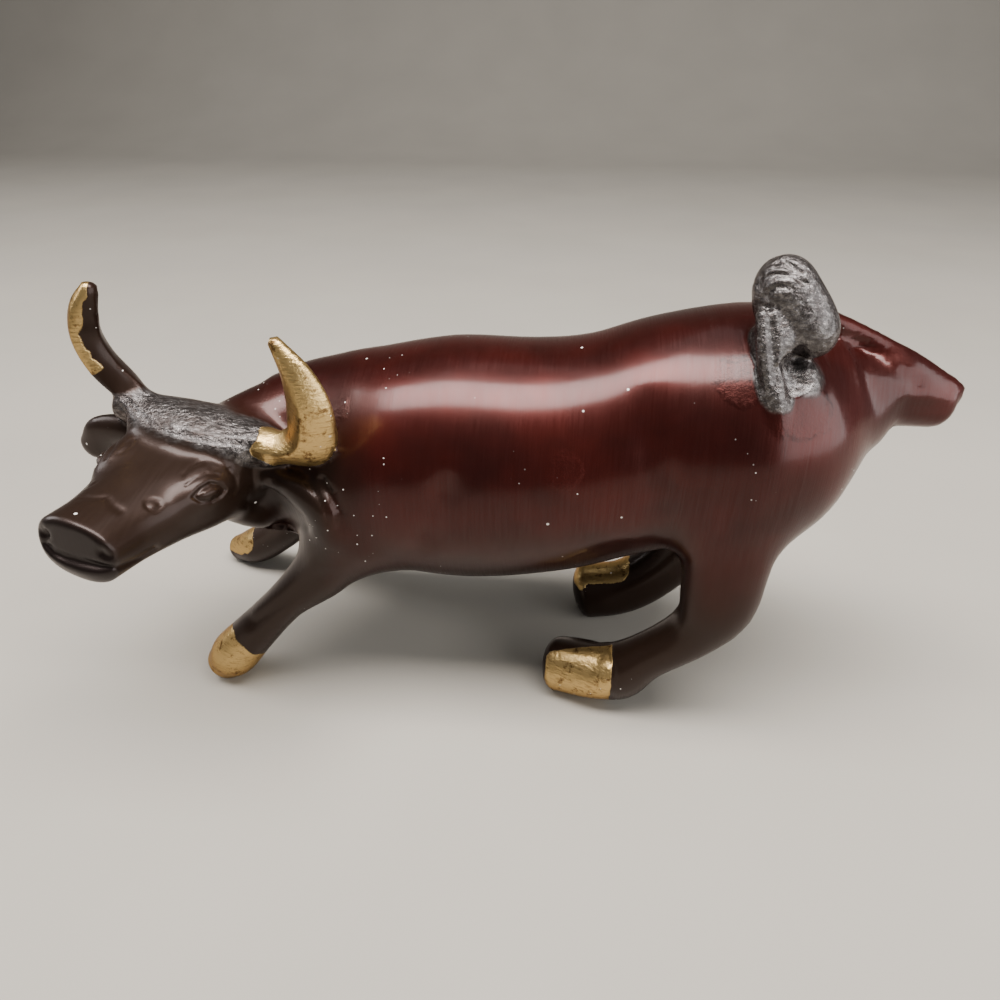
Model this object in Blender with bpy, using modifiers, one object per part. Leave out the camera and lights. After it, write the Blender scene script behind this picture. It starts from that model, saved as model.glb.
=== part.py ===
"""Bull figurine, one casting, carved in the round and closed for the part library."""
import math

import bmesh
import bpy
import mathutils
import numpy as np

# Driving size: the casting's length from the nose's side to the end of the rump, in metres.
# Everything below is a share of it: the figure is formed FORMED_LENGTH units long.
FIGURE_LENGTH = 0.1655
FORMED_LENGTH = 165.5
MM = FIGURE_LENGTH / FORMED_LENGTH

# Frame while the figure is formed: millimetres, x from the head towards the rump,
# y from the bull's left flank to its right flank, z up from the ground.
OUTSIDE = 60.0

# Head: a frame of its own, turned to the bull's left
HEAD_YAW = math.radians(78.0)
HEAD_PITCH = math.radians(2.5)
HEAD_ROLL = math.radians(-8.4)
POLL = np.array([-53.8, -16.0, 61.1])
LEVEL_SIDE = np.array([math.sin(HEAD_YAW), -math.cos(HEAD_YAW), 0.0])
HEAD_FORE = np.array([
    -math.cos(HEAD_YAW) * math.cos(HEAD_PITCH),
    -math.sin(HEAD_YAW) * math.cos(HEAD_PITCH),
    -math.sin(HEAD_PITCH),
])
LEVEL_UP = np.cross(HEAD_FORE, LEVEL_SIDE)
HEAD_SIDE = LEVEL_SIDE * math.cos(HEAD_ROLL) + LEVEL_UP * math.sin(HEAD_ROLL)
HEAD_UP = np.cross(HEAD_FORE, HEAD_SIDE)

# Forms carried along a path.  Each row is a point of the path, then the half width,
# the half height above and the half height below.
TRUNK = [
    (-44, -1, 48, 11, 14, 16), (-37, 0, 48, 15.5, 18, 19.5), (-26, 0, 47.5, 21, 21.7, 22.5),
    (-8, 0, 47.8, 23.5, 24.6, 24.8), (10, 0, 50, 23, 22.8, 24.2), (22, 0, 52.5, 22, 22, 22.3),
    (34, 0, 56, 22, 22.5, 21), (46, 0, 59, 21, 22, 20), (55, 0, 60.5, 16.5, 20, 16.5),
    (60, 0, 62, 13, 17, 13), (65, 0, 64, 9.8, 13.2, 9.7), (71, 0, 66, 6.2, 8.2, 6.7),
    (79, 0, 64.5, 4.3, 5, 4.5),
]
NECK = [
    (-30, 0, 49, 15, 17, 18), (-40, -3, 49.5, 13.5, 15.5, 18), (-48, -9, 50.5, 11.5, 13, 15.8),
    (-54, -15, 52, 11, 9, 10.8),
]
SKULL = [
    (0, -4, -7.5, 11, 8, 8), (0, 1, -8, 13, 9, 9.2), (0, 8, -8.5, 12, 7.6, 8),
    (0, 16, -8, 9.6, 6.6, 6.6), (0, 24, -7.4, 7.8, 5.8, 5.8), (-0.2, 30.2, -6.8, 7.5, 5.4, 5.6),
]
CREST = [
    (-15, 0, -0.9, 3.4, 2.8, 3), (-7, 0.6, -0.6, 5, 2.7, 3), (0, 0.8, -0.4, 5.6, 2.7, 3),
    (7, 0.6, -0.6, 5, 2.7, 3), (15, 0, -0.9, 3.4, 2.8, 3),
]
LEFT_HORN = [
    (12, -0.3, -0.8, 3.4, 3, 3), (18, -0.4, 0.2, 3.8, 3.2, 3.4), (22.4, -0.4, 3.4, 4.2, 4.4, 5.2),
    (23.7, 0.2, 9.5, 3.7, 4.9, 4.4), (21.8, 0.4, 15.5, 2.8, 3.8, 3.2), (17.8, 0.6, 20.8, 1.4, 1.6, 1.4),
]
RIGHT_HORN = [
    (-12, -0.3, -0.8, 3.6, 3.2, 3.2), (-15.6, -0.8, 2.4, 3.4, 3, 3.2), (-19.6, -0.4, 6.5, 3.4, 3.2, 3.4),
    (-21.6, -0.2, 11.3, 3.2, 3.2, 3.4), (-21.1, -0.4, 16, 2.7, 2.9, 3), (-19.4, -1, 20.2, 1.6, 1.8, 1.8),
]
LEFT_EAR = [
    (11.5, -0.6, -7.6, 2.6, 2.6, 2.6), (17.3, 0.2, -8.3, 2.9, 2.4, 2.2), (22.1, 0.8, -9.9, 3.1, 2, 2),
    (25.6, 1, -12, 3.3, 1.8, 1.8), (28.4, 0.8, -15, 1.4, 1, 1),
]
RIGHT_EAR = [
    (-12, -0.2, -6.2, 2.6, 2.6, 2.6), (-17.8, 0.4, -7, 3, 2.4, 2.2), (-22, 0.9, -9.2, 3.5, 2, 2),
    (-24.4, 1.2, -12.4, 3, 1.8, 1.8),
]
LEFT_FORELEG = [
    (-29, -14, 38, 8, 6.5, 9), (-34.6, -16, 28.8, 6, 6, 6), (-42.4, -18, 21.2, 4.4, 4.5, 3.8),
    (-50.4, -19, 12.6, 4.6, 4.9, 4.2), (-55.6, -19.5, 6.8, 5, 5.4, 4.8), (-59, -19, 3.4, 4, 4.2, 4.4),
]
RIGHT_FORELEG = [
    (-33, 13, 38, 8, 9, 9), (-40, 15, 29, 6.5, 7.5, 6.5), (-49, 17, 21, 4.6, 5, 4.6),
    (-59, 19, 11.8, 4.5, 4.6, 4.5), (-67.5, 21, 5.6, 4.8, 4.8, 4.8), (-73, 22.5, 3, 3.6, 3.8, 3.6),
]
LEFT_HIND_LEG = [
    (45, -11, 56, 9, 12, 11), (44.5, -13.5, 47, 9, 11.5, 10), (45, -16, 38, 7.4, 8.8, 7.4),
    (44, -18, 29, 6.2, 7.5, 6.6), (40.4, -18.4, 21.8, 5.2, 5.2, 4.6), (32.5, -18.2, 14.2, 4.8, 4.6, 4),
    (25, -17, 7.8, 5.8, 5.6, 7), (14.6, -13.4, 5.2, 5.8, 5.6, 6.6),
]
RIGHT_HIND_LEG = [
    (45, 9, 56, 9, 12, 11), (45, 11, 47, 9, 11.5, 10), (46, 13, 38, 7.4, 8.8, 7.4),
    (46.5, 14, 29, 6.6, 8, 6.4), (42.5, 13.6, 20.4, 6, 7.4, 6), (36.4, 13, 12.8, 5.4, 6.6, 6.4),
    (29, 12.5, 7.6, 5.2, 6.2, 7), (20, 12, 5.6, 5.4, 6.4, 7),
]
# The tail's curled end: the place and the radius of each ball in a close row
TAIL = [
    (45.6, -10.8, 84.6, 3.8), (45.5, -10.4, 86.6, 4.1), (45.8, -10.3, 88, 4.3), (46.5, -10.5, 87.6, 4.4),
    (47.2, -10.9, 86.5, 4.4), (47.9, -11.1, 85.6, 4.4), (48.6, -11.4, 84.7, 4.4), (49.3, -11.7, 83.8, 4.4),
    (50, -12.1, 82.8, 4.4), (50.7, -12.4, 81.7, 4.3), (51.1, -12.6, 81, 4),
]
TAIL_ROOT = [
    (47.6, -19, 66, 2, 1.8, 1.8), (46.4, -18.2, 71.5, 2.2, 2, 2), (44.4, -16.6, 78, 2, 1.9, 1.9),
    (43.4, -14.4, 84, 1.9, 1.8, 1.8),
]
RUMP_CORD = [
    (55, 0, 80.3, 1.8, 1.6, 3.6), (66.8, 0, 75.4, 1.6, 1.5, 2.4), (74.7, 0, 71.4, 1.4, 1.4, 1.4),
    (82, 0, 66.8, 1.6, 1.8, 1.8),
]

# Carved lines.  Each one is a path, the depth and the width; a minus depth is raised.
# Lines of the head that both sides have, in the head frame
EYE_RIM = [
    (9.6, 15, -3.6), (10, 13.3, -2.9), (10.5, 11.4, -2.9), (11.3, 10.1, -3.9), (11.7, 9.7, -4.9),
    (11.8, 11.4, -5.2), (11.4, 13, -5.1), (10.5, 14.6, -4.4), (9.6, 15, -3.6),
]
HEAD_PAIRS = [
    (EYE_RIM, 0.5, 0.36),
    ([(10.9, 13.2, -4), (11.3, 11.4, -4.2)], -0.4, 0.8),
    ([(7.4, 14.1, -1.8), (7.3, 12.2, -1.4), (7.6, 10.2, -1.3), (8.8, 8.4, -1.6), (10.3, 7.3, -2.4),
      (11.1, 6.4, -3.8)], -0.1, 0.6),
    ([(8, 14.4, -2.1), (8.4, 12.2, -1.9), (9.1, 10.5, -1.9), (10.2, 9, -2.7)], 0.16, 0.33),
    ([(6.6, 13, -1.2), (6.5, 11, -0.9), (7.2, 8.8, -0.9)], 0.1, 0.33),
    ([(10.7, 6.6, -3), (11.4, 6.1, -4.6), (12, 6.9, -6.3), (12.2, 8.4, -6.6)], 0.25, 0.5),
    ([(12.7, 3.1, -0.5), (12.2, 2, -4.9), (12.6, 3.1, -7.9), (11.8, 4.3, -10.9)], 0.8, 1.3),
    ([(0.6, 23.4, -1.8), (1.8, 24, -2), (3.4, 24.2, -2.3)], 0.18, 0.6),
    ([(5.3, 30.9, -4.9), (6, 30.8, -5.4)], 0.5, 0.7),
]
CHEEK_RING = (6, 20.2, -2.9)
# Lines of the head that cross it or are on one side only
HEAD_LINES = [
    ([(-8.2, 24, -8.6), (-7.9, 27, -8.3), (-6.4, 30.4, -8), (-3.8, 31.9, -7.9), (-1.1, 32.2, -7.8),
      (2, 31.9, -7.7), (5, 31.4, -7.7), (6.8, 30.2, -7.8), (7.8, 27, -8.3), (8.2, 24, -8.6)], 0.45, 0.55),
    ([(-13.6, 2.2, 2.2), (-7.6, 4.5, 0.4), (-1.9, 5.2, 0.1), (4.2, 5.1, 0.4), (9.6, 4, 0.7),
      (14.2, 2.9, 1.1)], 0.35, 0.5),
    ([(13.3, 1.6, -12.9), (14.7, -0.2, -15.9), (15.6, -1.8, -19)], 2, 3),
    ([(24.9, -0.6, -4.8), (27.8, 0.4, -7), (29.5, 1, -9.7), (29.4, 2, -12)], 0.5, 0.6),
    ([(22.6, 0.4, -5.9), (25.4, 1.6, -7.3), (27.3, 2.4, -9.5), (27.8, 2.8, -11.1)], 0.35, 0.45),
    ([(15.5, 1.6, -7.6), (17.8, 2.2, -8.8), (22, 3.2, -10.9), (24.2, 3.3, -13.5)], 0.5, 0.9),
]
# Grooves of the rump: under its cord and round its end
RUMP_LINES = [
    ([(60, -5, 77), (67, -4.4, 73), (75, -3.6, 69)], 0.7, 1.1),
    ([(70, -6, 66.6), (76, -5, 65.6), (81, -4, 65)], 0.5, 1.2),
]
# Creases that both flanks have
FLANK_PAIRS = [
    ([(-5.9, -21.5, 58.1), (-6.9, -22.6, 54.8), (-8, -23.3, 51.4), (-9.6, -23.4, 46.7),
      (-11.9, -22.4, 41.4), (-15.7, -19.5, 34.9)], 1.1, 2.6),
    ([(26.5, -14, 72), (27.5, -19.1, 65.7), (28.4, -21.3, 60.4), (29.3, -22, 55), (31, -21.1, 48.3),
      (33, -19.5, 41)], 1.1, 3.4),
    ([(14, -17, 34.5), (16.9, -18.7, 37.5), (20.8, -19.3, 40.5), (24.7, -19.1, 41.8), (28.2, -17.1, 40.2)],
     0.25, 2),
]
# Lines of the legs on the left side
LEG_LINES = [
    ([(-30.6, -22, 33.6), (-37.7, -21.6, 27.1), (-44.9, -21.8, 21.1), (-50.5, -21.8, 16.7)], 0.4, 0.8),
    ([(-32.7, -21.8, 35.7), (-37.6, -20.5, 30.5), (-43.9, -20.3, 24.4), (-50.4, -20.2, 18.2)], -0.3, 0.8),
    ([(20.7, -15.8, 13.4), (24, -18.7, 13.9), (25.5, -21.4, 13), (25.6, -22.8, 8.2), (25.6, -22, 3)],
     0.35, 0.6),
]
# Grooves of the tail: one beside its root, a hollow under its curled end, and rings on the curl
TAIL_LINES = [
    ([(46, -19.5, 73.7), (44.8, -18.5, 77.6), (43.9, -17.5, 82), (43.2, -16.5, 86)], 0.8, 0.75),
    ([(47, -17, 79), (48.9, -17, 76.6), (50.1, -17.6, 72.6)], 1.2, 1.9),
    ([(41.1, -14, 88.5), (41.5, -14, 90.2), (42.9, -14, 91.3), (45, -14, 91.5), (48, -14, 90.1)], 0.6, 0.5),
    ([(41.6, -14, 87.1), (42.2, -14, 89), (43.7, -14, 90.1), (46, -14, 90.2), (48.9, -14, 88.6)], 0.5, 0.45),
    ([(42.3, -14, 85.9), (43, -14, 87.6), (44.6, -14, 88.8), (46.8, -14, 88.5)], 0.3, 0.45),
]
# Carved lines hold their place in the picture's line of sight: along it a distance counts less
HEAD_SIGHT = (-58.7, 102.0, -65.0)
FLANK_SIGHT = (0.0, 1.0, 0.0)
SIGHT_SHARE = 0.1
# The nose is cut flat across the muzzle, and the lip below it stands forward
NOSE_PLANE = 31.6
LIP_REACH = 1.3


def unit(vector):
    vector = np.asarray(vector, float)
    return vector / np.linalg.norm(vector)


def from_head(rows):
    """Rows of the head frame, moved to the figure's frame."""
    moved = []
    for row in rows:
        point = POLL + HEAD_SIDE * row[0] + HEAD_FORE * row[1] + HEAD_UP * row[2]
        moved.append((*point, *row[3:]))
    return moved


def to_head(points):
    offset = np.asarray(points, float) - POLL
    return np.stack([offset @ HEAD_SIDE, offset @ HEAD_FORE, offset @ HEAD_UP], axis=-1)


def smooth_rows(rows, steps):
    """Catmull-Rom curve through the rows."""
    rows = np.asarray(rows, float)
    ends = np.vstack([2 * rows[0] - rows[1], rows, 2 * rows[-1] - rows[-2]])
    share = np.linspace(0, 1, steps, endpoint=False)[:, None]
    pieces = []
    for first in range(1, len(ends) - 2):
        before, start, stop, after = ends[first - 1:first + 3]
        linear = (stop - before) * share
        square = (2 * before - 5 * start + 4 * stop - after) * share ** 2
        cube = (3 * start - before - 3 * stop + after) * share ** 3
        pieces.append(0.5 * (2 * start + linear + square + cube))
    pieces.append(rows[-1:])
    return np.vstack(pieces)


class Loft:
    """A rounded form whose section changes along a path."""

    def __init__(self, rows, lean=(0, 0, 1), cap=None, blend=4.0, power=2.0):
        rows = smooth_rows(rows, 16)
        rows[:, 3:] = np.maximum(rows[:, 3:], 0.4)
        self.centre = rows[:, :3]
        self.wide = rows[:, 3]
        self.high = rows[:, 4]
        self.deep = rows[:, 5]
        run = np.gradient(self.centre, axis=0)
        self.step = np.linalg.norm(run, axis=1)
        self.along = run / self.step[:, None]
        across = np.cross(self.along, np.asarray(lean, float))
        self.across = across / np.linalg.norm(across, axis=1)[:, None]
        self.up = np.cross(self.across, self.along)
        self.cap = cap
        self.blend = blend
        self.power = power
        reach = rows[:, 3:].max(axis=1)[:, None] + max(6.0, blend + 3)
        self.box_low = (self.centre - reach).min(axis=0)
        self.box_high = (self.centre + reach).max(axis=0)

    def distance(self, points):
        result = np.empty(len(points))
        for start in range(0, len(points), 60000):
            result[start:start + 60000] = self.part_distance(points[start:start + 60000])
        return result

    def part_distance(self, points):
        gap = (self.centre ** 2).sum(axis=1)[None, :] - 2 * points @ self.centre.T
        near = gap.argmin(axis=1)
        offset = ((points - self.centre[near]) * self.along[near]).sum(axis=1) / self.step[near]
        last = len(self.centre) - 1
        place = np.clip(near + np.clip(offset, -1, 1), 0, last)
        row = np.minimum(place.astype(int), last - 1)
        share = place - row

        def between(values):
            weight = share if values.ndim == 1 else share[:, None]
            return values[row] * (1 - weight) + values[row + 1] * weight

        arm = points - between(self.centre)
        side = (arm * between(self.across)).sum(axis=1)
        rise = (arm * between(self.up)).sum(axis=1)
        beyond = (arm * between(self.along)).sum(axis=1)
        wide = between(self.wide)
        tall = np.where(rise > 0, between(self.high), between(self.deep))
        cap = 0.8 * np.minimum(wide, tall) if self.cap is None else self.cap
        section = np.abs(side / wide) ** self.power + np.abs(rise / tall) ** self.power
        ratio = np.sqrt(section ** (2 / self.power) + (beyond / cap) ** 2)
        ratio = np.maximum(ratio, 1e-5)
        return np.sqrt(side * side + rise * rise + beyond * beyond) * (1 - 1 / ratio)

    def skin(self, around=28, dome=5):
        """Closed skin of the form: a ring of points to each row and a dome on each end.

        A point is centre + across * wide * c + up * tall * s, where c and s are the cosine and
        the sine of its angle raised to 2 / power.  The rings of a dome shrink as a quarter circle.
        """
        angle = np.linspace(0, 2 * math.pi, around, endpoint=False)
        out = np.sign(np.cos(angle)) * np.abs(np.cos(angle)) ** (2 / self.power)
        rise = np.sign(np.sin(angle)) * np.abs(np.sin(angle)) ** (2 / self.power)
        bend = np.linspace(0, math.pi / 2, dome, endpoint=False)[1:]
        last = len(self.centre) - 1
        rows = np.concatenate([np.zeros(dome - 1, int), np.arange(last + 1), np.full(dome - 1, last)])
        ends = [min(self.wide[row], self.high[row], self.deep[row]) * 0.8 for row in (0, last)]
        caps = ends if self.cap is None else [self.cap, self.cap]
        level = np.zeros(last + 1)
        swell = np.concatenate([np.cos(bend)[::-1], level + 1, np.cos(bend)])
        reach = np.concatenate([-np.sin(bend)[::-1] * caps[0], level, np.sin(bend) * caps[1]])
        tall = np.where(rise[None, :] > 0, self.high[rows][:, None], self.deep[rows][:, None])
        side = (self.wide[rows] * swell)[:, None] * out[None, :]
        lift = tall * swell[:, None] * rise[None, :]
        rings = (
            self.centre[rows][:, None] + self.across[rows][:, None] * side[:, :, None]
            + self.up[rows][:, None] * lift[:, :, None]
            + (self.along[rows] * reach[:, None])[:, None])
        poles = [self.centre[0] - self.along[0] * caps[0], self.centre[-1] + self.along[-1] * caps[1]]
        points = np.vstack([rings.reshape(-1, 3), poles])
        number = np.arange(len(rows) * around).reshape(len(rows), around)
        turned = np.roll(number, -1, axis=1)
        quads = np.stack([number[:-1], turned[:-1], turned[1:], number[1:]], axis=-1).reshape(-1, 4)
        fans = []
        for ring, pole, order in ((0, 0, (1, 0, 2)), (-1, 1, (0, 1, 2))):
            fan = [number[ring], turned[ring], np.full(around, number.size + pole)]
            fans += np.stack([fan[place] for place in order], axis=-1).tolist()
        return points, quads.tolist() + fans


class Ball:
    """An ellipsoid, turned about y and then about z."""

    def __init__(self, centre, half, tilt=0.0, turn=0.0, blend=4.0):
        self.centre = np.asarray(centre, float)
        self.half = np.asarray(half, float)
        tilt = math.radians(tilt)
        turn = math.radians(turn)
        about_y = np.array([
            [math.cos(tilt), 0, math.sin(tilt)], [0, 1, 0], [-math.sin(tilt), 0, math.cos(tilt)]])
        about_z = np.array([
            [math.cos(turn), -math.sin(turn), 0], [math.sin(turn), math.cos(turn), 0], [0, 0, 1]])
        self.axes = about_z @ about_y
        self.blend = blend
        reach = self.half.max() + max(6.0, blend + 3)
        self.box_low = self.centre - reach
        self.box_high = self.centre + reach

    def distance(self, points):
        arm = (points - self.centre) @ self.axes
        ratio = np.maximum(np.sqrt(((arm / self.half) ** 2).sum(axis=1)), 1e-5)
        return np.sqrt((arm * arm).sum(axis=1)) * (1 - 1 / ratio)


def figure_forms():
    """Every form of the figure, in the order in which they are joined."""
    head_up = tuple(HEAD_UP)
    head_fore = tuple(HEAD_FORE)
    forward = (-1, 0, 0)
    forms = [
        Loft(TRUNK, blend=5, cap=3.5),
        Loft(NECK, blend=6),
        Loft(from_head(SKULL), head_up, blend=3, cap=2.6, power=2.4),
        Ball(from_head([(8, 10.5, -5)])[0], (2.9, 5.2, 3), turn=-12, blend=4),
        Ball(from_head([(-8, 10.5, -5)])[0], (2.9, 5.2, 3), turn=-12, blend=4),
        Loft(from_head(CREST), head_up, blend=4, power=2.3),
        Loft(from_head(LEFT_HORN), tuple(-HEAD_SIDE), blend=1.6, cap=1.2, power=1.25),
        Loft(from_head(RIGHT_HORN), tuple(HEAD_SIDE), blend=1.2, cap=1.2, power=1.25),
        Loft(from_head(LEFT_EAR), head_fore, blend=1, cap=1),
        Loft(from_head(RIGHT_EAR), head_fore, blend=1, cap=2.6),
        Ball((-28.4, -11, 42), (11.4, 10, 15), tilt=-15, blend=6),
        Loft(LEFT_FORELEG, forward, blend=4),
        Ball((-31, 11, 42), (12, 10, 15), tilt=-15, blend=6),
        Loft(RIGHT_FORELEG, forward, blend=4),
        Ball((46.8, -10, 56.4), (16.2, 12.5, 19), tilt=14, blend=7),
        Ball((46.8, 10, 56.4), (16.2, 12.5, 19), tilt=14, blend=7),
        Loft(LEFT_HIND_LEG, forward, blend=4, cap=3.2, power=2.3),
        Loft(RIGHT_HIND_LEG, forward, blend=4, cap=3.2, power=2.3),
        Ball((47.4, -10.6, 80.4), (4.6, 4.4, 6.4), blend=2),
        Ball((46, -13.6, 79), (3, 3.6, 5.4), blend=2),
        Ball((49.6, -13, 72), (4.4, 4.2, 5), blend=2),
        Loft(TAIL_ROOT, (1, 0, 0), blend=1),
        Loft(RUMP_CORD, blend=1.6),
    ]
    forms += [Ball(row[:3], (row[3],) * 3, blend=0.9) for row in TAIL]
    return forms


def soft_min(first, second, blend):
    overlap = np.maximum(blend - np.abs(first - second), 0) / blend
    return np.minimum(first, second) - overlap * overlap * blend / 4


def path_distance(points, path, sight):
    """Distance to a path and the place on it, with less weight along the line of sight."""
    squeeze = np.eye(3) - (1 - SIGHT_SHARE) * np.outer(sight, sight)
    points = points @ squeeze
    path = np.asarray(path, float) @ squeeze
    best = np.full(len(points), 1e9)
    place = np.zeros(len(points))
    legs = len(path) - 1
    for index in range(legs):
        start = path[index]
        run = path[index + 1] - start
        share = np.clip((points - start) @ run / (run @ run), 0, 1)
        gap = np.linalg.norm(points - start - share[:, None] * run, axis=1)
        closer = gap < best
        best = np.where(closer, gap, best)
        place = np.where(closer, (index + share) / legs, place)
    return best, place


def carve(values, points, line, sight, fade=0.0):
    """Add one carved line to the distances."""
    path, depth, width = line
    corners = np.asarray(path, float)
    reach = 3 * width + 4
    near = np.all((points > corners.min(axis=0) - reach) & (points < corners.max(axis=0) + reach), axis=1)
    if not near.any():
        return
    gap, place = path_distance(points[near], path, sight)
    cut = depth * np.exp(-(gap / width) ** 2)
    if fade:
        cut *= np.clip(np.minimum(place, 1 - place) / fade, 0, 1)
    values[near] += cut


def figure_distance(points, forms):
    """Signed distance to the figure's surface, inside below zero."""
    values = np.full(len(points), OUTSIDE)
    for form in forms:
        near = np.all((points > form.box_low) & (points < form.box_high), axis=1)
        if near.any():
            values[near] = soft_min(values[near], form.distance(points[near]), form.blend)
    local = to_head(points)
    near = (np.abs(local[:, 0]) < 33) & (local[:, 1] > -6) & (local[:, 1] < 42) & (np.abs(local[:, 2] + 5) < 20)
    if near.any():
        local = local[near]
        part = values[near]
        lip = np.clip((-7.3 - local[:, 2]) / 2.2, 0, 1)
        plane = (local[:, 1] - NOSE_PLANE) * 0.985 + (local[:, 2] + 7.4) * 0.12 - LIP_REACH * lip
        part = -soft_min(-part, -np.where(local[:, 1] > 27, plane, -9), 0.5)
        sight = unit(to_head(POLL + np.array(HEAD_SIGHT)))
        for line in HEAD_LINES:
            carve(part, local, line, sight)
        folded = local.copy()
        folded[:, 0] = np.abs(folded[:, 0])
        for line in HEAD_PAIRS:
            carve(part, folded, line, sight)
        ring = np.linalg.norm(folded - np.array(CHEEK_RING), axis=1)
        part += 0.14 * np.exp(-((ring - 1.05) / 0.33) ** 2)
        values[near] = part
    for line in LEG_LINES + TAIL_LINES + RUMP_LINES:
        carve(values, points, line, unit(FLANK_SIGHT), 0.1)
    folded = points.copy()
    folded[:, 1] = -np.abs(folded[:, 1])
    for line in FLANK_PAIRS:
        carve(values, folded, line, unit(FLANK_SIGHT), 0.3)
    return values


def add_skin(solid, form):
    """Add the closed skin of one form to the mesh that is being built."""
    if isinstance(form, Ball):
        place = np.eye(4)
        place[:3, :3] = form.axes * form.half * MM
        place[:3, 3] = form.centre * MM
        bmesh.ops.create_uvsphere(
            solid, u_segments=40, v_segments=24, radius=1, matrix=mathutils.Matrix(place.tolist()))
        return
    points, faces = form.skin()
    mesh = bpy.data.meshes.new("skin")
    mesh.from_pydata((points * MM).tolist(), [], faces)
    solid.from_mesh(mesh)
    bpy.data.meshes.remove(mesh)


def applied(figure, name, kind, **settings):
    """The figure's mesh with one modifier applied."""
    modifier = figure.modifiers.new(name, kind)
    for key, value in settings.items():
        setattr(modifier, key, value)
    view = bpy.context.evaluated_depsgraph_get()
    mesh = bpy.data.meshes.new_from_object(figure.evaluated_get(view))
    figure.modifiers.clear()
    return mesh


def settle(mesh, forms, rounds):
    """Move the points along their normals until they lie on the blended, carved surface."""
    count = len(mesh.vertices) * 3
    points = np.empty(count)
    mesh.vertices.foreach_get("co", points)
    points = points.reshape(-1, 3) / MM
    for _ in range(rounds):
        normals = np.empty(count, np.float32)
        mesh.vertex_normals.foreach_get("vector", normals)
        gap = np.clip(figure_distance(points, forms), -LONGEST_MOVE, LONGEST_MOVE)
        points = points - normals.reshape(-1, 3) * gap[:, None]
        mesh.vertices.foreach_set("co", (points * MM).ravel())
        mesh.update()
    return points

CELL = 0.9
LONGEST_MOVE = 0.7
TRIANGLES = 9000
GROUND = 0.0


def clear_scene():
    for item in list(bpy.data.objects):
        bpy.data.objects.remove(item)


def cut_soles(solid):
    """Cut the hooves flat at the ground and close each cut with one flat face."""
    geometry = solid.verts[:] + solid.edges[:] + solid.faces[:]
    bmesh.ops.bisect_plane(
        solid, geom=geometry, dist=1e-7, plane_co=(0, 0, GROUND * MM), plane_no=(0, 0, 1), clear_inner=True)
    rim = [edge for edge in solid.edges if edge.is_boundary]
    bmesh.ops.holes_fill(solid, edges=rim, sides=0)
    bmesh.ops.recalc_face_normals(solid, faces=solid.faces[:])


def body_material():
    material = bpy.data.materials.new("oxblood_lacquer")
    material.use_nodes = True
    shader = material.node_tree.nodes["Principled BSDF"]
    shader.inputs["Base Color"].default_value = (0.085, 0.012, 0.010, 1)
    shader.inputs["Metallic"].default_value = 0.6
    shader.inputs["Roughness"].default_value = 0.22
    return material


def build():
    clear_scene()
    forms = figure_forms()
    rough = bmesh.new()
    for form in forms:
        add_skin(rough, form)
    mesh = bpy.data.meshes.new("bull")
    rough.to_mesh(mesh)
    rough.free()
    figure = bpy.data.objects.new("bull", mesh)
    group = bpy.data.collections.new("bull")
    bpy.context.scene.collection.children.link(group)
    group.objects.link(figure)

    # One closed skin round all the forms, its points moved onto the blended and carved
    # surface, then a second even skin of that, with fewer triangles
    for rounds in (6, 2):
        figure.data = applied(figure, "skin", "REMESH", mode="VOXEL", voxel_size=CELL * MM)
        settle(figure.data, forms, rounds)
    faces = 2 * len(figure.data.polygons)
    reduced = applied(figure, "fewer", "DECIMATE", ratio=TRIANGLES / faces)
    figure.data = mesh

    solid = bmesh.new()
    solid.from_mesh(reduced)
    cut_soles(solid)
    low = np.array([vertex.co for vertex in solid.verts]).min(axis=0)
    high = np.array([vertex.co for vertex in solid.verts]).max(axis=0)
    centre = (low + high) / 2
    bmesh.ops.translate(solid, verts=solid.verts[:], vec=(-centre[0], -centre[1], -low[2]))
    solid.to_mesh(mesh)
    solid.free()
    mesh.shade_smooth()
    mesh.materials.append(body_material())
    print("triangles", sum(len(face.vertices) - 2 for face in mesh.polygons))
    print("size mm", ((high - low) / MM).round(2), "shift mm", (centre / MM).round(3), (low[2] / MM).round(3))


build()
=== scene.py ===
"""Looks of the cast bull: one lacquered brass casting on a pale floor.

The casting is formed in millimetres, in the frame it was drawn in, as rounded forms carried
along paths.  Their skins are joined, every point moves onto the blended and carved surface,
and the finished mesh is set down on the part's own place.
"""
import math

import bmesh
import bpy
import mathutils
import numpy as np
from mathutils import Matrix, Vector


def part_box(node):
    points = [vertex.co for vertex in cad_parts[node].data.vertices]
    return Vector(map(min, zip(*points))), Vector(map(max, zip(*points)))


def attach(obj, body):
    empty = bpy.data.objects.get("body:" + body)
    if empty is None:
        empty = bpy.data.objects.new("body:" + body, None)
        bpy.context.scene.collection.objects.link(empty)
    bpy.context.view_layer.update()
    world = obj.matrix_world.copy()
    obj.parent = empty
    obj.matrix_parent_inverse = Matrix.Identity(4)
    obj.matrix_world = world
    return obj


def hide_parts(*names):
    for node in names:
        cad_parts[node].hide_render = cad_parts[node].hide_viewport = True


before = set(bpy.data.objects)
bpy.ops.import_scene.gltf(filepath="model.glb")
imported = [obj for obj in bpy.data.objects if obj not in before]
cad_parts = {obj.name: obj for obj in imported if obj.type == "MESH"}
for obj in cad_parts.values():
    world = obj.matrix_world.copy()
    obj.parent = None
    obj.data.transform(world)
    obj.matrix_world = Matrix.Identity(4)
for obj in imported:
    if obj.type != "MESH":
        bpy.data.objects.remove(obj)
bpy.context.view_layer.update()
CAST_LOW, CAST_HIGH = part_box("bull")

MM = 0.001
# Millimetres: the longest step of a point towards the surface, and the cell that joins the forms
LONGEST_MOVE = 0.7
CAST_CELL = 1.1
# Rounds of settling after each joining, and after each refinement
JOIN_ROUNDS = (5, 2)
FINE_ROUNDS = 2

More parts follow.
